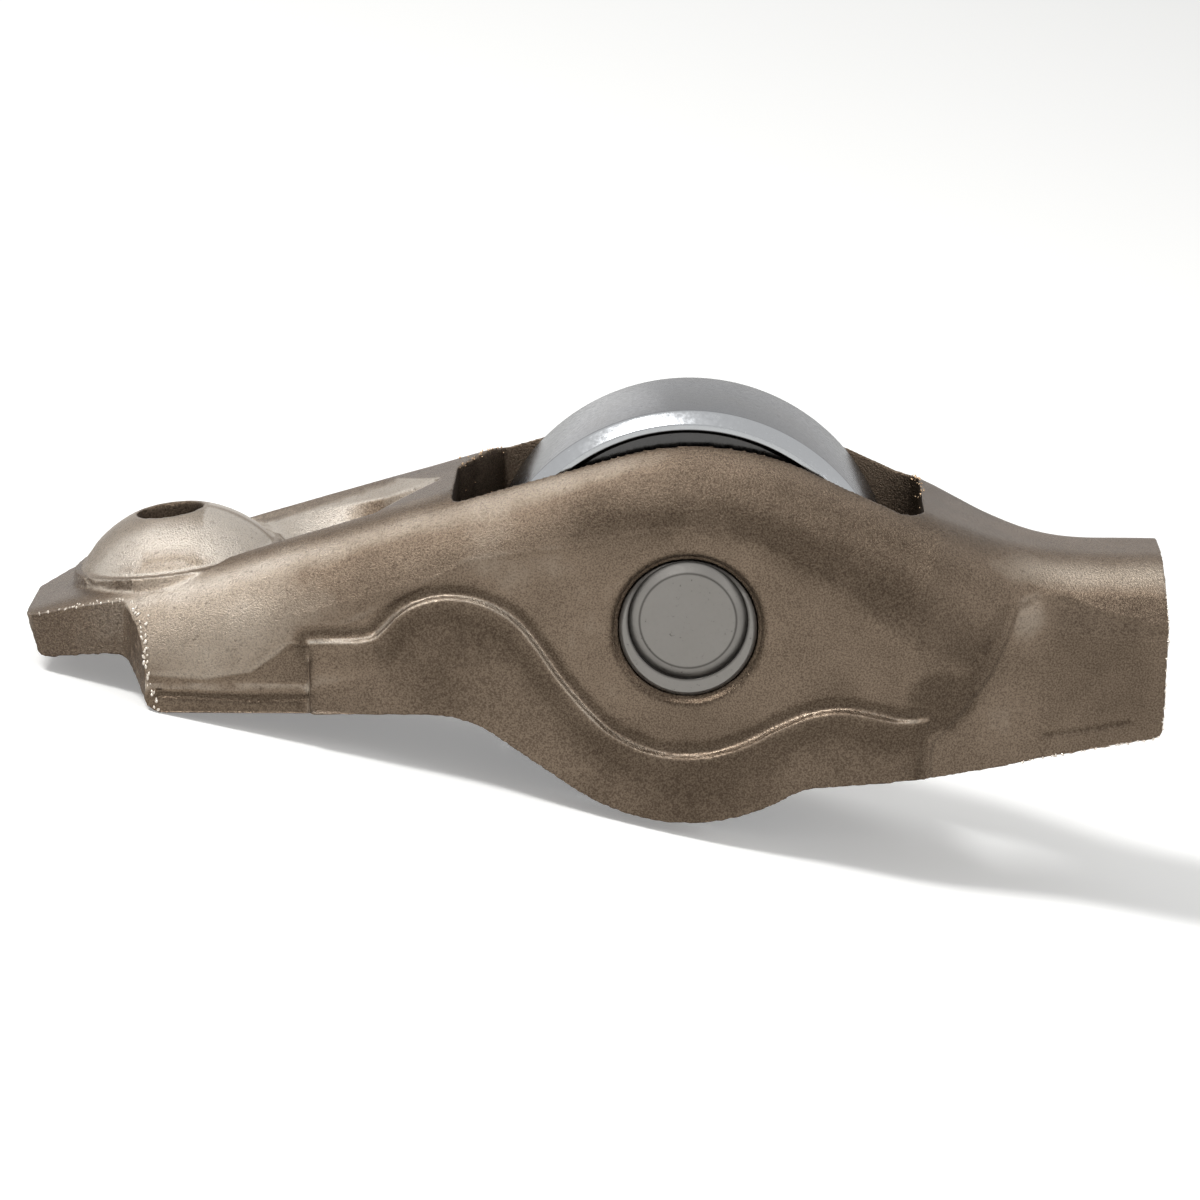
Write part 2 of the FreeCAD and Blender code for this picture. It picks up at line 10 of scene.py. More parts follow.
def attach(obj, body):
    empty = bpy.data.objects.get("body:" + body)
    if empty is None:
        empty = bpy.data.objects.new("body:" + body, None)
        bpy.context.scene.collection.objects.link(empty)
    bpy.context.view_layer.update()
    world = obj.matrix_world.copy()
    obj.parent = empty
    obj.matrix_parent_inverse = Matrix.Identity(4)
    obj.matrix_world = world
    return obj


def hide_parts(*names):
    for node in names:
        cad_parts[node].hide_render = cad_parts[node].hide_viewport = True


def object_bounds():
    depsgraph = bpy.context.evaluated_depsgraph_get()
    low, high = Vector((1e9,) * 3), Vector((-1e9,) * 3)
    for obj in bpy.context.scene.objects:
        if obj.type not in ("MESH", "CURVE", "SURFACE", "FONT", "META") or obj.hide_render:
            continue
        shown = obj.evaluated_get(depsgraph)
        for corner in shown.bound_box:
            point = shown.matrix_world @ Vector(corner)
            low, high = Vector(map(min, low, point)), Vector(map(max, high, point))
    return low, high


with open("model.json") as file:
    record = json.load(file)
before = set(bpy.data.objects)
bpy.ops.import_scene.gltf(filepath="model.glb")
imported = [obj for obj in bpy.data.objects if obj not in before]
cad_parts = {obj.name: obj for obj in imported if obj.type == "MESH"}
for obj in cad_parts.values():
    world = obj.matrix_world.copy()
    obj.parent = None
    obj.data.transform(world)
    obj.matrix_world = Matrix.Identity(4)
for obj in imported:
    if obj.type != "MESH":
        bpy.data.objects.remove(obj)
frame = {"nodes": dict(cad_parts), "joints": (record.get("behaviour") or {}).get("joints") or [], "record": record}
cad_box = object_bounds()

# The rocker arm
# One stamping of 2.35 mm case-hardened steel, folded to a channel, with the ball socket pressed up.
# It is blanked, pressed and coined cold, then tumbled and lightly tarnished, so edges are soft.

MM = 0.001

down_at_valve = next(
    Vector(mount["axis"]) for mount in frame["record"]["mounts"] if mount["name"] == "valve_pad"
)
arm_tilt = math.atan2(down_at_valve.x, -down_at_valve.z)
axle = Vector(frame["joints"][0]["pos_m"])
# from the arm's own drawing frame, in millimetres about the axle, to the row frame in metres
place = Matrix.Translation(axle) @ Matrix.Rotation(-arm_tilt, 4, "Y") @ Matrix.Scale(MM, 4)


def moved(points, by):
    """Points as rows, moved by a 4 by 4 matrix."""
    turn = np.array(by)
    return points @ turn[:3, :3].T + turn[:3, 3]


def mesh_points(mesh):
    """A mesh's points as rows."""
    flat = np.empty(len(mesh.vertices) * 3, dtype=np.float32)
    mesh.vertices.foreach_get("co", flat)
    return flat.reshape(-1, 3).astype(float)


def mesh_normals(mesh):
    """The direction in which a mesh faces at each of its points."""
    flat = np.empty(len(mesh.vertices) * 3, dtype=np.float32)
    mesh.vertex_normals.foreach_get("vector", flat)
    return flat.reshape(-1, 3).astype(float)


def set_points(mesh, points):
    """Moves a mesh's points to the given rows."""
    mesh.vertices.foreach_set("co", points.astype(np.float32).ravel())
    mesh.update()


def set_attribute(mesh, name, values):
    """Stores one value for each point, for a material to read."""
    mesh.attributes.new(name, "FLOAT", "POINT").data.foreach_set("value", values.astype(np.float32))


def apply_modifiers(piece):
    """Turns a piece's evaluated shape into its plain mesh."""
    evaluated = piece.evaluated_get(bpy.context.evaluated_depsgraph_get())
    ready = bpy.data.meshes.new_from_object(evaluated)
    piece.modifiers.clear()
    piece.data = ready


def copy_of_node(node, name):
    """A merged copy of a CAD node's mesh, which can be refined and stand for that node."""
    piece = bpy.data.objects.new(name, frame["nodes"][node].data.copy())
    bpy.context.scene.collection.objects.link(piece)
    piece.data.materials.clear()
    work = bmesh.new()
    work.from_mesh(piece.data)
    bmesh.ops.remove_doubles(work, verts=work.verts, dist=1e-7)
    work.to_mesh(piece.data)
    work.free()
    return piece


def linear(code):
    """An sRGB hex colour as linear red, green, blue and alpha."""
    parts = [int(code[at : at + 2], 16) / 255 for at in (1, 3, 5)]
    return [c / 12.92 if c <= 0.04045 else ((c + 0.055) / 1.055) ** 2.4 for c in parts] + [1.0]


def node(tree, kind, settings=None, **sockets):
    """Adds a node with its settings, and links or sets its sockets.

    A socket is given by name or as i and its number. An output socket is linked to it, a hex colour
    is turned to linear, and anything else is set as it is.
    """
    made = tree.nodes.new(kind)
    for key, value in (settings or {}).items():
        setattr(made, key, value)
    for key, value in sockets.items():
        numbered = key[0] == "i" and key[1:].isdigit()
        socket = made.inputs[int(key[1:]) if numbered else key.replace("_", " ")]
        if isinstance(value, bpy.types.NodeSocket):
            tree.links.new(value, socket)
        else:
            socket.default_value = linear(value) if isinstance(value, str) else value
    return made


def new_material(name):
    """An empty material and its node tree."""
    made = bpy.data.materials.new(name)
    made.use_nodes = True
    made.node_tree.nodes.clear()
    return made, made.node_tree


def cold_formed_steel():
    """Cold-formed steel with a brown heat tarnish.

    Bends and untouched walls keep a fine orange peel, coined places are smooth, rubbed edges are
    bare and pale, and sheared faces are torn. Painted highlights and painted shade come in through
    the same tarnish ramp. The peel of 0.1 mm shows at its real size.
    """
    made, tree = new_material("tarnished_steel_with_painted_light")
    colours = {"data_type": "RGBA"}
    times = {"operation": "MULTIPLY"}
    at = node(tree, "ShaderNodeTexCoord").outputs["Object"]
    coined, tarnish_and_painted_light, torn = (
        node(tree, "ShaderNodeAttribute", {"attribute_name": name}).outputs["Fac"]
        for name in ("coined", "tarnish_and_painted_light", "torn")
    )
    # noise of 0.09, 2.4, 0.4 and 0.13 mm, as (per metre, detail, roughness)
    patterns = [(11000.0, 2.0, 0.65), (420.0, 5.0, 0.62), (2600.0, 4.0, 0.75), (8000.0, 3.0, 0.7)]
    peel, cloud, fleck, tear = (
        node(tree, "ShaderNodeTexNoise", Vector=at, Scale=scale, Detail=detail, Roughness=rough).outputs["Fac"]
        for scale, detail, rough in patterns
    )

    # the colour of the tarnish with its painted highlights and painted shade, from pale bare steel to deep brown
    drift = node(tree, "ShaderNodeMapRange", Value=cloud, i1=0.3, i2=0.7, i3=-0.08, i4=0.08)
    level = node(
        tree, "ShaderNodeMath", {"operation": "ADD", "use_clamp": True}, i0=tarnish_and_painted_light, i1=drift.outputs[0]
    )
    tone = node(tree, "ShaderNodeValToRGB", Fac=level.outputs[0])
    tone.color_ramp.elements[0].color = linear("#bdb5ab")
    tone.color_ramp.elements[1].color = linear("#44392f")
    tone.color_ramp.elements.new(0.35).color = linear("#958a7d")
    tone.color_ramp.elements.new(0.65).color = linear("#6b5d50")

    # bare peaks and dark hollows of the peel, pits, and the dark rags of the sheared faces
    grit = node(tree, "ShaderNodeMapRange", Value=peel, i1=0.40, i2=0.64, i3=0.0, i4=0.26)
    shine = node(tree, "ShaderNodeMapRange", Value=level.outputs[0], i1=0.70, i2=1.0, i3=1.0, i4=0.7)
    bare = node(tree, "ShaderNodeMath", times, i0=grit.outputs[0], i1=shine.outputs[0])
    pit = node(tree, "ShaderNodeMapRange", Value=fleck, i1=0.60, i2=0.70, i3=0.0, i4=0.5)
    sink = node(tree, "ShaderNodeMapRange", Value=peel, i1=0.50, i2=0.34, i3=0.0, i4=0.32)
    rag = node(tree, "ShaderNodeMapRange", Value=tear, i1=0.42, i2=0.60, i3=0.0, i4=0.5)
    ragged = node(tree, "ShaderNodeMath", times, i0=torn, i1=rag.outputs[0])
    coloured = tone.outputs[0]
    for amount, colour in ((bare, "#a3937f"), (pit, "#3b3029"), (sink, "#3b3029"), (ragged, "#4a3f37")):
        coloured = node(
            tree, "ShaderNodeMix", colours, i0=amount.outputs[0], i6=coloured, i7=colour
        ).outputs[2]

    # the peel's relief is pressed flat where the steel is coined, and deepest where it is torn
    rough = node(tree, "ShaderNodeMapRange", Value=coined, i1=0.0, i2=1.0, i3=0.44, i4=0.33)
    depth = node(tree, "ShaderNodeMapRange", Value=coined, i1=0.0, i2=1.0, i3=1.0, i4=0.35)
    peaks = node(tree, "ShaderNodeMath", times, i0=peel, i1=depth.outputs[0])
    tears = node(tree, "ShaderNodeMath", times, i0=tear, i1=torn)
    relief = node(
        tree,
        "ShaderNodeMath",
        {"operation": "MULTIPLY_ADD"},
        i0=tears.outputs[0],
        i1=3.0,
        i2=peaks.outputs[0],
    )
    bump = node(tree, "ShaderNodeBump", Strength=1.0, Distance=0.00006, Height=relief.outputs[0])
    shader = node(
        tree,
        "ShaderNodeBsdfPrincipled",
        Base_Color=coloured,
        Metallic=1.0,
        Roughness=rough.outputs[0],
        Normal=bump.outputs[0],
    )
    node(tree, "ShaderNodeOutputMaterial", Surface=shader.outputs[0])
    return made


def smooth(amount):
    """An even ramp from 0 to 1."""
    amount = np.clip(amount, 0.0, 1.0)
    return amount * amount * (3.0 - 2.0 * amount)


def ramp(value, start, over):
    """0 up to a start, and 1 after a smooth rise over the given run."""
    return smooth((value - start) / over)


def near(distance, width):
    """A soft ridge that is 1 on a line and fades out over a width beside it."""
    return np.exp(-((distance / width) ** 2))


def to_line(points, line):
    """Each point's distance to an open line of corners."""
    nearest = np.full(len(points), 1e9)
    for start, end in zip(line[:-1], line[1:]):
        run = np.subtract(end, start)
        share = np.clip((points - start) @ run / (run @ run), 0.0, 1.0)
        nearest = np.minimum(nearest, np.hypot(*(points - start - share[:, None] * run).T))
    return nearest


def round_corners(corners, steps, by_radius):
    """A line of (along, across, round) corners, run round each corner that asks for a round.

    A round is the radius of the bend, or else how far from the corner the bend starts.
    """
    line = []
    for index, (*place_of_corner, amount) in enumerate(corners):
        corner = np.array(place_of_corner)
        if amount == 0:
            line.append(corner)
            continue
        to_before = np.array(corners[index - 1][:2]) - corner
        to_after = np.array(corners[(index + 1) % len(corners)][:2]) - corner
        to_before /= np.hypot(*to_before)
        to_after /= np.hypot(*to_after)
        reach = amount / math.tan(math.acos(to_before @ to_after) / 2) if by_radius else amount
        for share in np.linspace(0.0, 1.0, steps):
            line.append(corner + reach * ((1.0 - share) ** 2 * to_before + share**2 * to_after))
    return line


def eased(line):
    """The same line with its corners cut back twice, so that it runs round them."""
    for _ in range(2):
        cut = []
        for (a, b), (c, d) in zip(line[:-1], line[1:]):
            cut += [(0.75 * a + 0.25 * c, 0.75 * b + 0.25 * d), (0.25 * a + 0.75 * c, 0.25 * b + 0.75 * d)]
        line = [line[0]] + cut + [line[-1]]
    return line


def inside(points, outline):
    """Each point's distance to a closed outline, above 0 inside it and below 0 outside."""
    within = np.zeros(len(points), dtype=bool)
    for (ax, az), (bx, bz) in zip(outline, outline[1:] + outline[:1]):
        if az != bz:
            crosses = (points[:, 1] > az) != (points[:, 1] > bz)
            within ^= crosses & (points[:, 0] < ax + (points[:, 1] - az) * (bx - ax) / (bz - az))
    return to_line(points, outline + outline[:1]) * np.where(within, 1.0, -1.0)


# The walls stand 7.6 mm from the middle, and 0.3 mm prouder below the step.
WALL_HALF = 7.6
STEP_HEIGHT = 0.3
STEP_START = -19.2
STEP_END = 11.8

# Where the press tools touched the walls, the same on both: corners (x, z) in millimetres about
# the axle. The drawn step is the one of the solids, with each corner's radius as the third value.
DRAWN_STEP = round_corners(
    [
        (STEP_START, -0.95, 0),
        (-15.9, -0.5, 0.8),
        (-13.6, 1.7, 3.2),
        (-9.05, 1.7, 4.5),
        (-3.45, -6.35, 3.0),
        (2.4, -6.35, 3.0),
        (6.9, -4.0, 2.0),
        (10.2, -4.65, 2.0),
        (12.3, -4.65, 0),
    ],
    steps=9,
    by_radius=True,
)
PROUD_LINE = eased(
    [
        *((STEP_START, -0.75), (-17.2, -0.67), (-16.1, -0.6), (-15.45, -0.07), (-14.7, 0.78)),
        *((-13.65, 1.36), (-12.4, 1.65), (-11.1, 1.57), (-9.8, 1.15), (-8.6, 0.35), (-7.6, -0.95)),
        *((-6.6, -2.5), (-5.3, -4.1), (-4.0, -5.4), (-2.4, -6.25), (-0.9, -6.65), (0.7, -6.65)),
        *((1.95, -6.36), (3.2, -5.88), (4.5, -5.14), (5.8, -4.56), (7.1, -4.22), (8.4, -4.22)),
        *((9.65, -4.48), (10.9, -4.8), (12.2, -4.7)),
    ]
)
PROUD_ZONE = PROUD_LINE + [(12.2, -13.0), (STEP_START, -13.0)]
DARK_BAND = [(-5.0, 5.6), (1.7, 5.9), (5.3, 4.3), (8.6, 2.95), (11.4, 1.1), (14.5, -1.0)]
PIN_FIELD = [
    *((-17.9, -0.1), (-14.6, 1.6), (-11.3, 3.5), (-8.0, 4.1), (-5.45, 4.3), (-3.5, 4.9), (0.0, 5.3)),
    *((4.0, 4.6), (8.0, 2.2), (11.4, -0.7), (14.5, -1.8), (15.0, -2.0), (13.2, -5.6), (8.0, -9.0)),
    *((0.0, -12.0), (-6.0, -10.5), (-12.0, -6.5), (-15.4, -5.6), (-15.4, -0.6)),
]
HEEL_PAD = [
    *((-27.4, -2.5), (-24.6, -2.65), (-22.2, -2.3), (-20.9, -1.4), (-20.2, -0.8), (-19.3, -0.95)),
    *((-19.2, -6.0), (-28.6, -6.0)),
]
HEEL_CREASE = [(-26.9, -3.55), (-22.0, -3.75), (-19.2, -3.7)]
SECOND_PAD = [(-19.2, -0.95), (-15.9, -0.5), (-15.4, -1.4), (-15.5, -2.6), (-18.7, -3.3), (-19.2, -3.4)]
VALVE_PAD = [
    *((16.6, 0.8), (17.7, 1.3), (19.4, 1.3), (21.0, 0.6), (23.7, -0.1), (25.6, -0.2), (25.6, -9.0)),
    *((12.0, -9.0), (12.3, -5.8), (13.8, -4.5), (15.3, -2.5), (16.1, -0.8)),
]
VALVE_CREASE = [(18.25, -6.0), (20.4, -5.7), (22.6, -5.3)]
RUB_SPOT = [(11.0, -2.6), (12.6, -1.9), (14.6, -2.6), (15.2, -4.2), (13.6, -5.7), (11.6, -5.2), (10.8, -3.8)]
PIN_RIM_RADIUS = 3.72

# how deep each tool sank, in millimetres
FIELD_DEPTH = 0.05
GROOVE_DEPTH = 0.08
RIDGE_FALL = 0.10
HEEL_DEPTH = 0.12
HEEL_CREASE_DEPTH = 0.14
SECOND_DEPTH = 0.05
VALVE_DEPTH = 0.11
VALVE_CREASE_DEPTH = 0.08
RUB_DEPTH = 0.05
RIM_DEPTH = 0.08

# how brown the walls are, from 0 for bare steel to 1 for the darkest, before the marks below
WALL_TARNISH = 0.74
# round patches that make the walls browner or paler, as (x, z, reach, amount)
TONE_PATCHES = [
    (-24.5, 0.6, 5.5, -0.42),
    (-15.0, 3.4, 3.0, -0.04),
    (14.0, -3.6, 2.0, 0.14),
    (17.4, 0.0, 1.2, -0.30),
    (16.0, -4.8, 1.9, -0.22),
    (0.0, -8.6, 4.5, 0.22),
    (-12.5, -2.0, 3.0, 0.20),
    (-10.0, 6.0, 2.4, -0.24),
    (14.0, 0.6, 2.6, -0.20),
    (21.0, -3.0, 4.0, 0.12),
]


def ease_step(points, normals):
    """Sets the walls' step on the freer curve that the press left, in place of the drawn one."""
    flat = points[:, [0, 2]]
    x, z = flat.T
    height = np.abs(points[:, 1])
    beside_drawn = to_line(flat, DRAWN_STEP) < 0.7
    weight = np.maximum(beside_drawn, ramp(np.abs(normals[:, 1]), 0.75, 0.15))
    weight *= smooth((height - WALL_HALF + 0.10) / 0.08) * (x < STEP_END) * (x > -20.0) * (z < 4.0)
    rise = ramp(inside(flat, PROUD_ZONE), -0.12, 0.24) * ramp(x, STEP_START, 2.8)
    rise *= np.clip((STEP_END - x) / 2.0, 0.0, 1.0)
    target = WALL_HALF + STEP_HEIGHT * rise
    points[:, 1] += np.sign(points[:, 1]) * weight * (target - height)
    return points


def press_marks(points, normals):
    """How far each wall point is sunk by the press tools, how smooth it is, and how tarnished it is with painted
    light and shade.
    """
    flat = points[:, [0, 2]]
    x, z = flat.T
    side = ramp(normals[:, 1] * np.sign(points[:, 1]), 0.5, 0.35) * (np.abs(points[:, 1]) > 4.6)
    proud = to_line(flat, PROUD_LINE)
    below = inside(flat, PROUD_ZONE) > 0
    field, heel, second, valve, rub = (
        inside(flat, zone) for zone in (PIN_FIELD, HEEL_PAD, SECOND_PAD, VALVE_PAD, RUB_SPOT)
    )
    heel_crease = to_line(flat, HEEL_CREASE)
    valve_crease = to_line(flat, VALVE_CREASE)
    rim = near(np.hypot(x, z) - PIN_RIM_RADIUS, 0.24)

    # the pin's field has a sharp edge at the left that softens to the right
    field_edge = 0.3 + 1.2 * ramp(x, -3.0, 4.0)
    sunk = FIELD_DEPTH * ramp(field, 0.0, field_edge) * ~below
    # a groove runs above the step, and the proud side falls away from a rounded ridge
    sunk += GROOVE_DEPTH * near(proud - 0.40, 0.22) * ~below
    sunk += RIDGE_FALL * ramp(proud, 0.2, 1.0) * below
    heel_sunk = HEEL_DEPTH * ramp(heel, 0.0, 0.25) * ramp(z, -4.0, 1.6)
    sunk += heel_sunk + HEEL_CREASE_DEPTH * near(heel_crease, 0.14)
    sunk += SECOND_DEPTH * ramp(second, 0.0, 0.3)
    sunk += VALVE_DEPTH * ramp(valve, 0.0, 0.4) + VALVE_CREASE_DEPTH * near(valve_crease, 0.16)
    sunk += RUB_DEPTH * ramp(rub, 0.0, 0.8)
    sunk += RIM_DEPTH * rim
    coined = np.maximum.reduce([ramp(zone, 0.0, 0.4) for zone in (field, heel, second, valve)]) * side

    # the walls grow darker towards the right end and along a band under the upper bend
    tarnish_and_painted_light = WALL_TARNISH + 0.09 * ramp(x, 0.0, 8.0) + 0.24 * near(to_line(flat, DARK_BAND), 1.4)
    for patch_x, patch_z, reach, amount in TONE_PATCHES:
        tarnish_and_painted_light += amount * near(np.hypot(x - patch_x, z - patch_z), reach)
    # coined places are cleaner, the foot of the heel's pad gets painted shade, and the rubbed spot is browner
    tarnish_and_painted_light += -0.08 * ramp(field, 0.0, 0.5) * ~below + 0.26 * ramp(heel, 0.0, 0.4) * ramp(-z, 2.4, 1.2)
    tarnish_and_painted_light += -0.14 * ramp(second, 0.0, 0.4) - 0.08 * ramp(valve, 0.0, 0.5) + 0.2 * ramp(rub, 0.0, 0.6)
    # painted shade in the groove beside the step and on the proud side's fall below its ridge, in the gap round
    # the pin, along the pads' edges and in the creases
    tarnish_and_painted_light += 0.36 * near(proud - 0.38, 0.34) * ~below + 0.20 * near(proud - 0.9, 0.8) * below
    tarnish_and_painted_light += 0.6 * rim + 0.45 * near(heel_crease, 0.2) + 0.2 * near(valve_crease, 0.12)
    tarnish_and_painted_light += 0.26 * near(heel - 0.3, 0.45) * (z > -3.0)
    tarnish_and_painted_light += 0.16 * near(valve + 0.35, 0.5) * (x < 17.6) * (z < 1.0)
    # painted highlights on the ridges: the step's, the one above the heel's crease and the zones' rims
    tarnish_and_painted_light -= 0.60 * near(proud - 0.05, 0.09) + 0.24 * near(z + 3.15, 0.3) * (heel > 0.0)
    tarnish_and_painted_light -= 0.25 * near(heel, 0.12) + 0.1 * near(valve, 0.2) + 0.1 * near(field, 0.15) * (x < 0.0)
    return sunk * side, coined, np.clip(tarnish_and_painted_light, 0.05, 1.0) * side


def press_waves(points):
    """The slow unevenness of a pressed wall, about 3 mm from crest to crest."""
    return np.array([noise.noise(Vector(point) * 0.33) for point in points])


def cut_edges(points, normals):
    """Where the blank was sheared: the walls' lower edges and the ends of walls, web and tongue."""
    x, _, z = points.T
    lower = ramp(-normals[:, 2], 0.55, 0.3) * (z < -2.0)
    ends = ramp(np.abs(normals[:, 0]), 0.6, 0.3) * ((x > 23.5) | (x < -26.0))
    tongue = ramp(np.abs(normals[:, 1]), 0.6, 0.3) * (x < -28.4)
    return np.clip(lower + ends + tongue, 0.0, 1.0)


REMESH_VOXEL = 0.11
ARM_TRIANGLES = 195000
WAVE_DEPTH = 0.03
TEAR_DEPTH = 0.05
TEARS_PER_WAVE = 9.0

arm = copy_of_node("rocker_body", "stamped_arm")
set_points(arm.data, moved(mesh_points(arm.data), place.inverted()))
remesh = arm.modifiers.new("even skin", "REMESH")
remesh.mode = "VOXEL"
remesh.voxel_size = REMESH_VOXEL
soften = arm.modifiers.new("tumbled edges", "SMOOTH")
soften.factor = 0.5
soften.iterations = 6
apply_modifiers(arm)

set_points(arm.data, ease_step(mesh_points(arm.data), mesh_normals(arm.data)))
points = mesh_points(arm.data)
normals = mesh_normals(arm.data)
sunk, coined, _ = press_marks(points, normals)
torn = cut_edges(points, normals)
waves = (WAVE_DEPTH + WAVE_DEPTH * press_waves(points)) * (1.0 - 0.5 * coined)
tears = torn * TEAR_DEPTH * (1.0 + press_waves(points * TEARS_PER_WAVE))
sunk += waves + tears
set_points(arm.data, points - normals * sunk[:, None])

thin = arm.modifiers.new("lighter mesh", "DECIMATE")
thin.ratio = min(1.0, ARM_TRIANGLES / (2 * len(arm.data.polygons)))
apply_modifiers(arm)
points = mesh_points(arm.data)
normals = mesh_normals(arm.data)
_, coined, wall_tarnish_and_painted_light = press_marks(points, normals)

# How brown the rest is, with painted light in it: the socket's crown and the bends are paler, partly
# bare steel and partly painted highlight, the pressed valley's slopes are paler as a painted
# highlight, the strips beside them are deeper, and the slot's ends and the inside of the oil hole
# are darkest as painted shade.
SOCKET_CENTRE = np.array((-26.11, 0.0, -1.47))
SOCKET_LEAN = math.radians(8.0)
SOCKET_OUTSIDE = 6.1
OIL_HOLE_REACH = 1.80
TONGUE_START = -28.0

x, y, z = points.T
faces_side = np.abs(normals[:, 1])
wall = ramp(faces_side, 0.45, 0.45)
# the bends are paler where they face halfway up, partly bare steel and partly painted highlight
bend = near(faces_side - 0.68, 0.26) * smooth(normals[:, 2] * 3.0)
bare_and_highlit_along = 1.0 + 0.4 * ramp(-x, 16.0, 6.0) - 0.8 * ramp(x, -5.0, 6.0) + 0.7 * ramp(x, 14.0, 4.0)
from_ball = np.linalg.norm(points - SOCKET_CENTRE, axis=1)
# a painted highlight on the pressed valley's slopes
valley = smooth((4.9 - np.abs(y)) / 0.6) * ((x > -25.0) & (x < -12.6)) * smooth(faces_side * 9.0)
valley *= 1.0 - 0.7 * ramp(np.abs(y), 3.0, 0.5)
top = 0.80 + 0.04 * ramp(x, -14.0, 10.0) - 0.16 * ramp(x, 14.0, 4.0)
# the socket's crown is paler, partly bare steel and partly painted highlight
top -= 0.40 * near(from_ball - SOCKET_OUTSIDE, 0.5) * (z > 1.5)
top -= 0.54 * bend * bare_and_highlit_along
top -= 0.62 * valley
unpressed_wall = np.where(x < TONGUE_START, 0.45, 0.75) * wall * (wall_tarnish_and_painted_light == 0.0)
tarnish_and_painted_light = wall_tarnish_and_painted_light + top * (1.0 - wall) + unpressed_wall

# painted shade on the slot's end faces
slot = (np.abs(y) < 5.6) * (np.abs(x) > 11.2) * (np.abs(x) < 13.2) * ramp(np.abs(normals[:, 0]), 0.5, 0.3)
socket_axis = np.array((-math.sin(SOCKET_LEAN), 0.0, math.cos(SOCKET_LEAN)))
from_axis = np.linalg.norm(np.cross(points - SOCKET_CENTRE, socket_axis), axis=1)
# painted shade inside the oil hole
oil_hole = (from_axis < OIL_HOLE_REACH) * (z > 0.0)
tarnish_and_painted_light = np.maximum(tarnish_and_painted_light, np.maximum(slot, oil_hole * 0.85))

set_attribute(arm.data, "coined", coined)
set_attribute(arm.data, "tarnish_and_painted_light", np.clip(tarnish_and_painted_light, 0.0, 1.0))
set_attribute(arm.data, "torn", np.maximum(cut_edges(points, normals), 0.3 * slot))
set_points(arm.data, moved(points, place))
arm.data.shade_smooth()
arm.data.materials.append(cold_formed_steel())
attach(arm, "arm")
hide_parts("rocker_body")

# The burrs
# Bright crumbs of torn steel where the blank was sheared and not deburred, and coppery ones at the
# slot's two ends, where its edge broke away. They are part of the arm's own edge, 0.05 to 0.4 mm long.

CRUMB_SIZE = 0.075
WALL_END_CRUMB = 0.12
CRUMB_STRETCH = ((0.3, 0.3, 0.3), (1.8, 0.9, 1.0))
CRUMB_TURN = ((0.0, 0.0, 0.0), (6.3, 6.3, 6.3))
STRETCH_SEED = 5
TURN_SEED = 9
SCATTER_SEED = 11
BURR_SPACING = 0.11
BURR_WANDER = 0.11
BURR_CHANCE = 0.6
SPECK_COUNT = 60
WALL_ENDS = [
    [(-28.5, -6.3, 1.3), (-27.7, -7.4, 0.4), (-27.6, -7.6, -1.6), (-27.3, -7.6, -3.4), (-26.6, -7.6, -4.4)],
    [(-28.5, 6.3, 1.3), (-27.7, 7.4, 0.4), (-27.6, 7.6, -1.6), (-27.3, 7.6, -3.4), (-26.6, 7.6, -4.4)],
]
SHEARED_EDGES = [
    [(-33.6, -4.9, 0.1), (-31.2, -5.3, 0.8), (-29.0, -5.8, 1.5)],
    [(24.6, -5.4, 1.4), (24.7, -5.5, -0.8), (24.7, -5.5, -3.2), (24.3, -5.5, -6.2)],
    [(24.3, -5.5, -6.2), (22.0, -5.4, -6.8), (17.0, -5.9, -7.7)],
]
# the lowest and highest corner of the boxes that hold the slot's broken edges
BROKEN_CORNER = ((-12.1, 1.6, 3.4), (-9.4, 5.3, math.inf))
FAR_END_OF_SLOT = ((11.6, 0.5, 1.5), (12.2, 5.3, math.inf))


def torn_steel(name, colour):
    """Steel torn bare by the shear, so brighter than the tarnished skin round it."""
    made, tree = new_material(name)
    at = node(tree, "ShaderNodeTexCoord").outputs["Object"]
    grain = node(tree, "ShaderNodeTexNoise", Vector=at, Scale=9000.0, Detail=2.0).outputs["Fac"]
    rough = node(tree, "ShaderNodeMapRange", Value=grain, i1=0.3, i2=0.7, i3=0.22, i4=0.4)
    shader = node(
        tree, "ShaderNodeBsdfPrincipled", Base_Color=colour, Metallic=1.0, Roughness=rough.outputs[0]
    )
    node(tree, "ShaderNodeOutputMaterial", Surface=shader.outputs[0])
    return made


def crumbs(finish):
    """Geometry Nodes: a small uneven crumb on every point, turned and sized at random with fixed seeds."""
    tree = bpy.data.node_groups.new("burr crumbs", "GeometryNodeTree")
    tree.interface.new_socket("Geometry", in_out="INPUT", socket_type="NodeSocketGeometry")
    size = tree.interface.new_socket("Crumb Size", in_out="INPUT", socket_type="NodeSocketFloat")
    tree.interface.new_socket("Geometry", in_out="OUTPUT", socket_type="NodeSocketGeometry")
    given = node(tree, "NodeGroupInput")
    crumb = node(tree, "GeometryNodeMeshIcoSphere", Radius=given.outputs["Crumb Size"], Subdivisions=1)
    stretch, twist = (
        node(tree, "FunctionNodeRandomValue", {"data_type": "FLOAT_VECTOR"}, i0=low, i1=high, Seed=seed)
        for (low, high), seed in ((CRUMB_STRETCH, STRETCH_SEED), (CRUMB_TURN, TURN_SEED))
    )
    spread = node(
        tree,
        "GeometryNodeInstanceOnPoints",
        Points=given.outputs["Geometry"],
        Instance=crumb.outputs["Mesh"],
        Rotation=twist.outputs[0],
        Scale=stretch.outputs[0],
    )
    real = node(tree, "GeometryNodeRealizeInstances", Geometry=spread.outputs[0])
    dressed = node(tree, "GeometryNodeSetMaterial", Geometry=real.outputs[0], Material=finish)
    node(tree, "NodeGroupOutput", Geometry=dressed.outputs[0])
    return tree, size.identifier


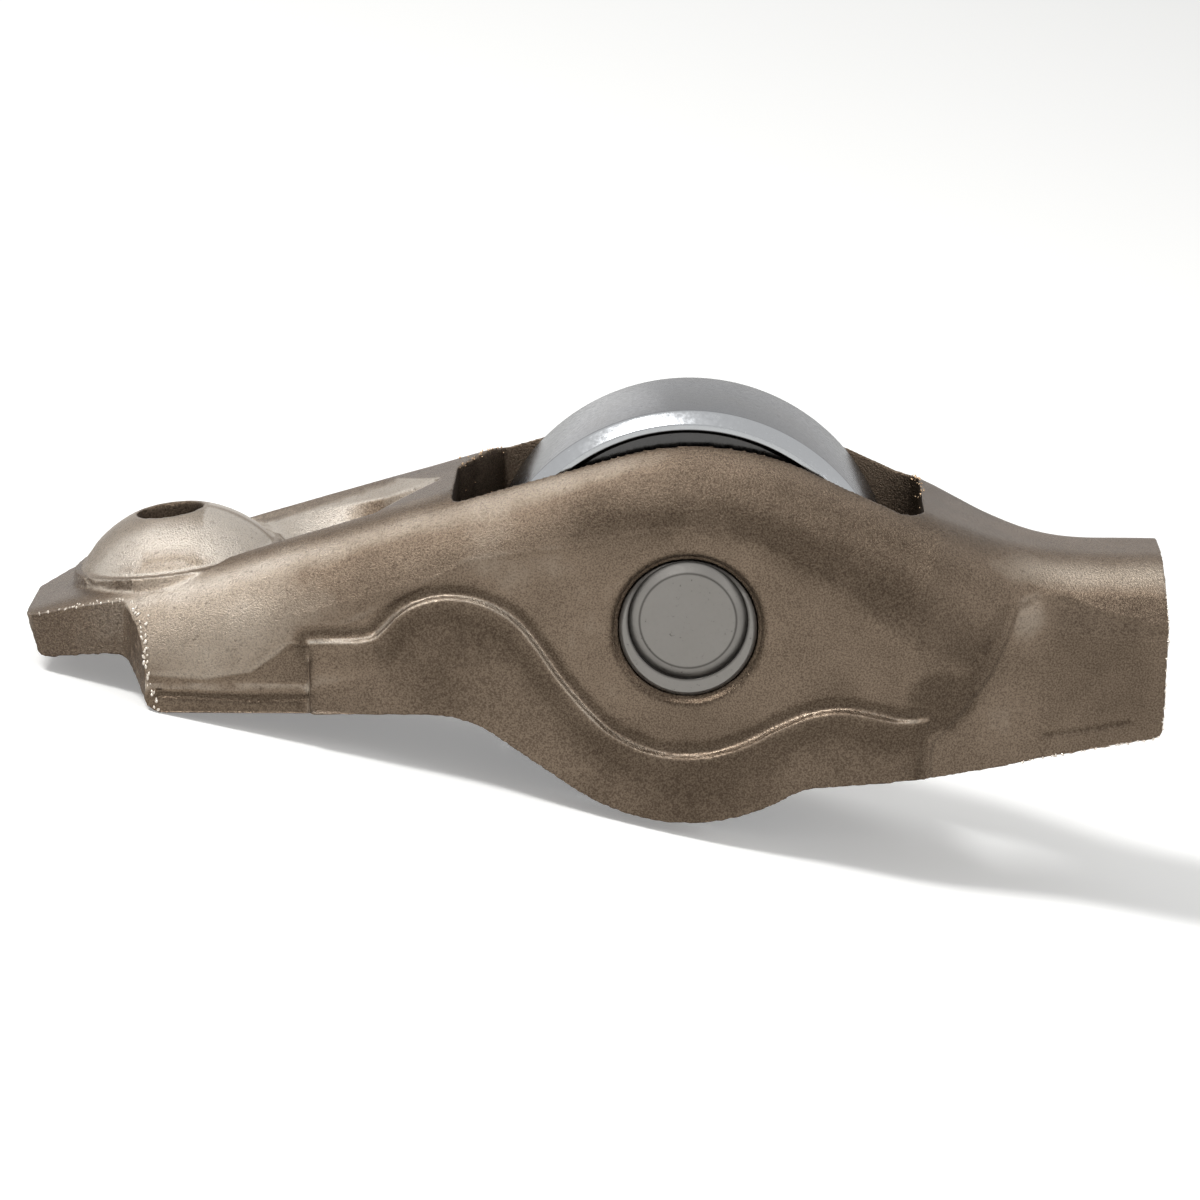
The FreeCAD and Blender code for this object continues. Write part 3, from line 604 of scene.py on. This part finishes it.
def scatter_crumbs(name, spots, finish, crumb_size):
    """Sets crumbs on the arm's own surface points and fixes them to the arm."""
    piece = bpy.data.objects.new(name, bpy.data.meshes.new(name))
    bpy.context.scene.collection.objects.link(piece)
    piece.data.from_pydata(spots.tolist(), [], [])
    tree, size = crumbs(finish)
    growth = piece.modifiers.new("burr crumbs", "NODES")
    growth.node_group = tree
    growth[size] = crumb_size
    apply_modifiers(piece)
    set_points(piece.data, moved(mesh_points(piece.data), place))
    piece.data.shade_smooth()
    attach(piece, "arm")


chance = np.random.default_rng(SCATTER_SEED)
skin = moved(mesh_points(arm.data), place.inverted())


def along_edges(edges):
    """Points of the arm's own skin along the given edges, unevenly spaced."""
    spots = []
    for edge_line in edges:
        for start, end in zip(edge_line[:-1], edge_line[1:]):
            run = np.subtract(end, start)
            for share in np.arange(0.0, 1.0, BURR_SPACING / np.linalg.norm(run)):
                aim = start + share * run + chance.normal(0.0, BURR_WANDER, 3)
                if chance.random() < BURR_CHANCE:
                    spots.append(skin[np.argmin(((skin - aim) ** 2).sum(axis=1))])
    return np.array(spots)


bare_steel = torn_steel("bare_torn_steel", "#d6cdc2")
scatter_crumbs("wall_end_burrs", along_edges(WALL_ENDS), bare_steel, WALL_END_CRUMB)
scatter_crumbs("shear_burrs", along_edges(SHEARED_EDGES), bare_steel, CRUMB_SIZE)

specks = []
for low, high in (BROKEN_CORNER, FAR_END_OF_SLOT):
    in_box = np.all((skin > low) & (skin < high), axis=1)
    specks.append(chance.choice(skin[in_box], SPECK_COUNT))
coppery_steel = torn_steel("coppery_torn_steel", "#c0a486")
scatter_crumbs("broken_corner_specks", np.concatenate(specks), coppery_steel, CRUMB_SIZE)

# The axle pin
# A ground and hardened pin, pushed through both walls and the needles.
# A ring is struck into each end face, which swells the rim so that the pin stays in its hole.

# the struck ring's centre is 0.42 mm above the pin's, and painted shade lies on rings of (radius, width)
STAKE_OFFSET = 0.42
STRUCK_RINGS = ((2.45, 0.09), (3.05, 0.12))
PIN_EDGE_BREAK = 0.07


def ground_steel(name, colour, roughness, lines_per_mm, specks, rings=(), centre=(0, 0, 0), edge_tint=1.0):
    """Ground bearing steel: clean grey, with fine grinding lines and a few dark specks.

    Relieved sides get painted shade and the chamfer a painted highlight, where the mesh says so.
    Rings of the given radii (mm) about a centre get painted shade along the edges of a struck groove.
    """
    made, tree = new_material(name)
    colours = {"data_type": "RGBA"}
    at = node(tree, "ShaderNodeTexCoord").outputs["Object"]
    chamfer_highlight, side_shade = (
        node(tree, "ShaderNodeAttribute", {"attribute_name": state}).outputs["Fac"]
        for state in ("chamfer_highlight", "side_shade")
    )
    lines, cloud = (
        node(tree, "ShaderNodeTexNoise", Vector=at, Scale=scale, Detail=detail, Roughness=0.6).outputs["Fac"]
        for scale, detail in ((lines_per_mm * 1000, 3.0), (300.0, 4.0))
    )
    rough = node(
        tree, "ShaderNodeMapRange", Value=lines, i1=0.3, i2=0.7, i3=roughness - 0.06, i4=roughness + 0.06
    )
    shade = node(tree, "ShaderNodeMapRange", Value=cloud, i1=0.3, i2=0.7, i3=0.0, i4=0.35)
    dots = node(tree, "ShaderNodeMapRange", Value=lines, i1=0.66, i2=0.74, i3=0.0, i4=specks)
    layers = [
        (shade.outputs[0], "#77746f"),
        (dots.outputs[0], "#3d3a36"),
        # a painted highlight on the chamfer and painted shade on the relieved sides
        (chamfer_highlight, "#b0b2b4"),
        (side_shade, "#34322f"),
    ]
    if rings:
        from_centre = node(tree, "ShaderNodeVectorMath", {"operation": "SUBTRACT"}, i0=at, i1=tuple(centre))
        flat_on = node(
            tree,
            "ShaderNodeVectorMath",
            {"operation": "MULTIPLY"},
            i0=from_centre.outputs[0],
            i1=(1.0, 0.0, 1.0),
        )
        reach = node(tree, "ShaderNodeVectorMath", {"operation": "LENGTH"}, i0=flat_on.outputs[0])
    for radius, width in rings:
        off = node(
            tree, "ShaderNodeMath", {"operation": "SUBTRACT"}, i0=reach.outputs["Value"], i1=radius * MM
        )
        gap = node(tree, "ShaderNodeMath", {"operation": "ABSOLUTE"}, i0=off.outputs[0])
        # painted shade along the struck ring's edge
        ring_shade = node(
            tree, "ShaderNodeMapRange", Value=gap.outputs[0], i1=0.0, i2=width * MM, i3=0.75, i4=0.0
        )
        layers.append((ring_shade.outputs[0], "#2f2c29"))
    coloured = colour
    for amount, layer in layers:
        coloured = node(tree, "ShaderNodeMix", colours, i0=amount, i6=coloured, i7=layer).outputs[2]
    bump = node(tree, "ShaderNodeBump", Strength=0.3, Distance=0.00001, Height=lines)
    shader = node(
        tree,
        "ShaderNodeBsdfPrincipled",
        Base_Color=coloured,
        Metallic=1.0,
        Roughness=rough.outputs[0],
        Specular_Tint=(edge_tint, edge_tint, edge_tint, 1.0),
        Normal=bump.outputs[0],
    )
    node(tree, "ShaderNodeOutputMaterial", Surface=shader.outputs[0])
    return made


pin = copy_of_node("axle_pin", "staked_pin")
work = bmesh.new()
work.from_mesh(pin.data)
bmesh.ops.dissolve_limit(work, angle_limit=math.radians(0.5), verts=work.verts, edges=work.edges)
work.to_mesh(pin.data)
work.free()
edge = pin.modifiers.new("broken edges", "BEVEL")
edge.width = PIN_EDGE_BREAK * MM
edge.segments = 3
edge.limit_method = "ANGLE"
edge.angle_limit = math.radians(35)
apply_modifiers(pin)
pin.data.shade_smooth()
pin.data.set_sharp_from_angle(angle=math.radians(14))
struck_at = place @ Vector((0.0, 0.0, STAKE_OFFSET))
pin.data.materials.append(
    ground_steel("ground_pin_steel", "#7f7c78", 0.40, 5.0, 0.6, rings=STRUCK_RINGS, centre=struck_at)
)
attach(pin, "arm")
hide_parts("axle_pin")

# The roller
# The hardened bearing-steel ring that the cam runs on, ground on its tread and bore.
# Its sides are relieved between a chamfered rim and the rib that runs beside the walls.

ROLLER_RADIUS = 10.65
ROLLER_HALF = 5.0
ROLLER_CHAMFER = 0.6
ROLLER_RELIEF = 0.15
RELIEF_RADIUS = 9.75
RIB_RADIUS = 6.4
BORE_RADIUS = 5.06
EDGE_BREAK = 0.06
BORE_BREAK = 0.2


def turned(name, section, steps, closed):
    """A piece turned about the axle from a section of (radius, along) points, in millimetres."""
    piece = bpy.data.objects.new(name, bpy.data.meshes.new(name))
    bpy.context.scene.collection.objects.link(piece)
    angles = np.arange(steps) * (2 * math.pi / steps)
    rings = [
        np.stack([radius * np.cos(angles), np.full(steps, along), radius * np.sin(angles)], axis=1)
        for radius, along in section
    ]
    faces = []
    for ring in range(len(section) if closed else len(section) - 1):
        after = (ring + 1) % len(section)
        for step in range(steps):
            turn = (step + 1) % steps
            here, there = ring * steps, after * steps
            faces.append((here + step, here + turn, there + turn, there + step))
    piece.data.from_pydata(moved(np.concatenate(rings), place).tolist(), [], faces)
    work = bmesh.new()
    work.from_mesh(piece.data)
    bmesh.ops.remove_doubles(work, verts=work.verts, dist=1e-8)
    bmesh.ops.recalc_face_normals(work, faces=work.faces)
    work.to_mesh(piece.data)
    work.free()
    piece.data.shade_smooth()
    piece.data.set_sharp_from_angle(angle=math.radians(28))
    return piece


half_section = [
    (BORE_RADIUS + BORE_BREAK, ROLLER_HALF, EDGE_BREAK),
    (RIB_RADIUS, ROLLER_HALF, EDGE_BREAK),
    (RIB_RADIUS + ROLLER_RELIEF, ROLLER_HALF - ROLLER_RELIEF, EDGE_BREAK),
    (RELIEF_RADIUS - ROLLER_RELIEF, ROLLER_HALF - ROLLER_RELIEF, EDGE_BREAK),
    (RELIEF_RADIUS, ROLLER_HALF, EDGE_BREAK),
    (ROLLER_RADIUS - ROLLER_CHAMFER, ROLLER_HALF, EDGE_BREAK),
    (ROLLER_RADIUS, ROLLER_HALF - ROLLER_CHAMFER, EDGE_BREAK * 2),
]
other_half = [(radius, -along, round_off) for radius, along, round_off in reversed(half_section)]
bore = [
    (BORE_RADIUS, -(ROLLER_HALF - BORE_BREAK), EDGE_BREAK),
    (BORE_RADIUS, ROLLER_HALF - BORE_BREAK, EDGE_BREAK),
]
roller_section = round_corners(half_section + other_half + bore, steps=5, by_radius=False)
roller = turned("cam_roller", roller_section, 256, closed=True)
across = np.abs(mesh_normals(roller.data)[:, 1])
from_axle = np.hypot(*moved(mesh_points(roller.data), place.inverted())[:, [0, 2]].T)
# painted highlight on the roller's chamfer and outer side ring
set_attribute(roller.data, "chamfer_highlight", 0.85 * ramp(across, 0.2, 0.2) * (from_axle > RELIEF_RADIUS + 0.05))
# painted shade on the roller's relieved sides and rib
set_attribute(roller.data, "side_shade", 0.75 * ramp(across, 0.6, 0.3) * (from_axle < RELIEF_RADIUS))
roller.data.materials.append(ground_steel("ground_roller_steel", "#77787b", 0.22, 4.5, 0.25, edge_tint=0.72))
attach(roller, "roller")
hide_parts("roller")

# The needles
# Seventeen loose needles of bearing steel, lapped bright, with broken ends.
# They fill the ring between pin and roller with no cage.

NEEDLE_COUNT = 17
NEEDLE_RADIUS = 0.75
NEEDLE_HALF = 4.4
NEEDLE_TRACK = 4.28
NEEDLE_BREAK = 0.12

needle_section = [
    (0.0, -NEEDLE_HALF),
    (NEEDLE_RADIUS - NEEDLE_BREAK, -NEEDLE_HALF),
    (NEEDLE_RADIUS, -NEEDLE_HALF + NEEDLE_BREAK),
    (NEEDLE_RADIUS, NEEDLE_HALF - NEEDLE_BREAK),
    (NEEDLE_RADIUS - NEEDLE_BREAK, NEEDLE_HALF),
    (0.0, NEEDLE_HALF),
]
lapped = ground_steel("lapped_needle_steel", "#b9b9b9", 0.22, 5.0, 0.1)


def ring_of_needles():
    """Geometry Nodes: one turned needle set round the axle, as many times as the input asks for."""
    tree = bpy.data.node_groups.new("ring of needles", "GeometryNodeTree")
    tree.interface.new_socket("Geometry", in_out="INPUT", socket_type="NodeSocketGeometry")
    count = tree.interface.new_socket("Needle Count", in_out="INPUT", socket_type="NodeSocketInt")
    track = tree.interface.new_socket("Track Radius", in_out="INPUT", socket_type="NodeSocketFloat")
    tree.interface.new_socket("Geometry", in_out="OUTPUT", socket_type="NodeSocketGeometry")
    given = node(tree, "NodeGroupInput")
    circle = node(
        tree,
        "GeometryNodeMeshCircle",
        Vertices=given.outputs["Needle Count"],
        Radius=given.outputs["Track Radius"],
    )
    upright = node(
        tree, "GeometryNodeTransform", Geometry=circle.outputs[0], Rotation=(math.pi / 2, 0.0, 0.0)
    )
    ring = node(
        tree, "GeometryNodeInstanceOnPoints", Points=upright.outputs[0], Instance=given.outputs["Geometry"]
    )
    real = node(tree, "GeometryNodeRealizeInstances", Geometry=ring.outputs[0])
    dressed = node(tree, "GeometryNodeSetMaterial", Geometry=real.outputs[0], Material=lapped)
    node(tree, "NodeGroupOutput", Geometry=dressed.outputs[0])
    return tree, count.identifier, track.identifier


needles = turned("needle_ring", needle_section, 32, closed=False)
set_points(needles.data, moved(mesh_points(needles.data), place.inverted()))
tree, count_socket, track_socket = ring_of_needles()
ring = needles.modifiers.new("ring of needles", "NODES")
ring.node_group = tree
ring[count_socket] = NEEDLE_COUNT
ring[track_socket] = NEEDLE_TRACK
apply_modifiers(needles)
set_points(needles.data, moved(mesh_points(needles.data), place))
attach(needles, "needle_set")
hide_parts(*frame["record"]["behaviour"]["bodies"]["needle_set"])

# The floor, the light and the camera
# A pale matt floor that runs on to a white background, a soft lamp overhead, a weak one at the front
# right and a fainter one behind. The camera stands as the photograph's does: 13.5 degrees above the
# arm's own level, 270 mm away.

FLOOR_HALF = 3.0
# a hair under the solids, because the round roller reaches lower than its faceted solid
FLOOR_GAP = 0.001 * MM
FLOOR_GLOW = 0.25
ROOM_LIGHT = 0.5
WHITE = (1.0, 1.0, 1.0, 1.0)

floor_level = cad_box[0][2] - FLOOR_GAP
floor = bpy.data.objects.new("floor", bpy.data.meshes.new("floor"))
bpy.context.scene.collection.objects.link(floor)
floor.data.from_pydata(
    [(x * FLOOR_HALF, y * FLOOR_HALF, floor_level) for x, y in ((-1, -1), (1, -1), (1, 1), (-1, 1))],
    [],
    [(0, 1, 2, 3)],
)


def seen_ray(tree):
    """1 for rays that show the background: the camera's own, and those in metal and glass."""
    ray = node(tree, "ShaderNodeLightPath")
    seen = ray.outputs["Is Camera Ray"]
    for also in ("Is Glossy Ray", "Is Transmission Ray"):
        seen = node(
            tree, "ShaderNodeMath", {"operation": "MAXIMUM"}, i0=seen, i1=ray.outputs[also]
        ).outputs[0]
    return seen


pale, tree = new_material("pale_matt_floor")
matt = node(tree, "ShaderNodeBsdfDiffuse", Color="#f2f2f0")
glow_amount = node(tree, "ShaderNodeMath", {"operation": "MULTIPLY"}, i0=seen_ray(tree), i1=FLOOR_GLOW)
glow = node(tree, "ShaderNodeEmission", Color=WHITE, Strength=glow_amount.outputs[0])
both = node(tree, "ShaderNodeAddShader", i0=matt.outputs[0], i1=glow.outputs[0])
node(tree, "ShaderNodeOutputMaterial", Surface=both.outputs[0])
floor.data.materials.append(pale)

world = bpy.data.worlds.new("soft_white_room")
bpy.context.scene.world = world
world.use_nodes = True
tree = world.node_tree
tree.nodes.clear()
strength = node(tree, "ShaderNodeMapRange", Value=seen_ray(tree), i1=0.0, i2=1.0, i3=ROOM_LIGHT, i4=1.0)
sky = node(tree, "ShaderNodeBackground", Color=WHITE, Strength=strength.outputs[0])
node(tree, "ShaderNodeOutputWorld", Surface=sky.outputs[0])

middle = Vector([(low + high) / 2 for low, high in zip(*cad_box)])


def soft_lamp(name, offset, size, power):
    """A square soft lamp at an offset from the arm, in metres, turned towards it."""
    light = bpy.data.lights.new(name, "AREA")
    light.shape = "SQUARE"
    light.size = size
    light.energy = power
    lamp = bpy.data.objects.new(name, light)
    bpy.context.scene.collection.objects.link(lamp)
    lamp.location = middle + Vector(offset)
    lamp.rotation_euler = Vector(offset).to_track_quat("Z", "Y").to_euler()


soft_lamp("lamp_overhead", (-0.27, -0.20, 0.47), size=0.14, power=2.4)
soft_lamp("lamp_front_right", (0.45, -0.28, 0.35), size=0.14, power=0.4)
soft_lamp("lamp_back_left", (-0.14, 0.50, 0.06), size=0.16, power=0.05)

CAMERA_ELEVATION = math.radians(13.5)
CAMERA_AZIMUTH = math.radians(1.35)
CAMERA_DISTANCE = 270.0
CAMERA_TARGET = Vector((-4.622, 0.0, -0.312))
FRAME_WIDTH = 62.4
SENSOR_WIDTH = 36.0

forward = Vector(
    (
        -math.sin(CAMERA_AZIMUTH) * math.cos(CAMERA_ELEVATION),
        math.cos(CAMERA_AZIMUTH) * math.cos(CAMERA_ELEVATION),
        -math.sin(CAMERA_ELEVATION),
    )
)
right = Vector((math.cos(CAMERA_AZIMUTH), math.sin(CAMERA_AZIMUTH), 0.0))
up = right.cross(forward)
turn = place.to_3x3().normalized()
camera_data = bpy.data.cameras.new("camera")
camera_data.sensor_width = SENSOR_WIDTH
camera_data.lens = SENSOR_WIDTH * CAMERA_DISTANCE / FRAME_WIDTH
camera_data.clip_start = 0.01
camera_data.clip_end = 20.0
camera = bpy.data.objects.new("camera", camera_data)
bpy.context.scene.collection.objects.link(camera)
stands_at = Matrix.Translation(place @ (CAMERA_TARGET - forward * CAMERA_DISTANCE))
looks = Matrix([turn @ right, turn @ up, turn @ -forward]).transposed().to_4x4()
camera.matrix_world = stands_at @ looks
bpy.context.scene.camera = camera

bpy.context.scene.view_settings.view_transform = "Standard"
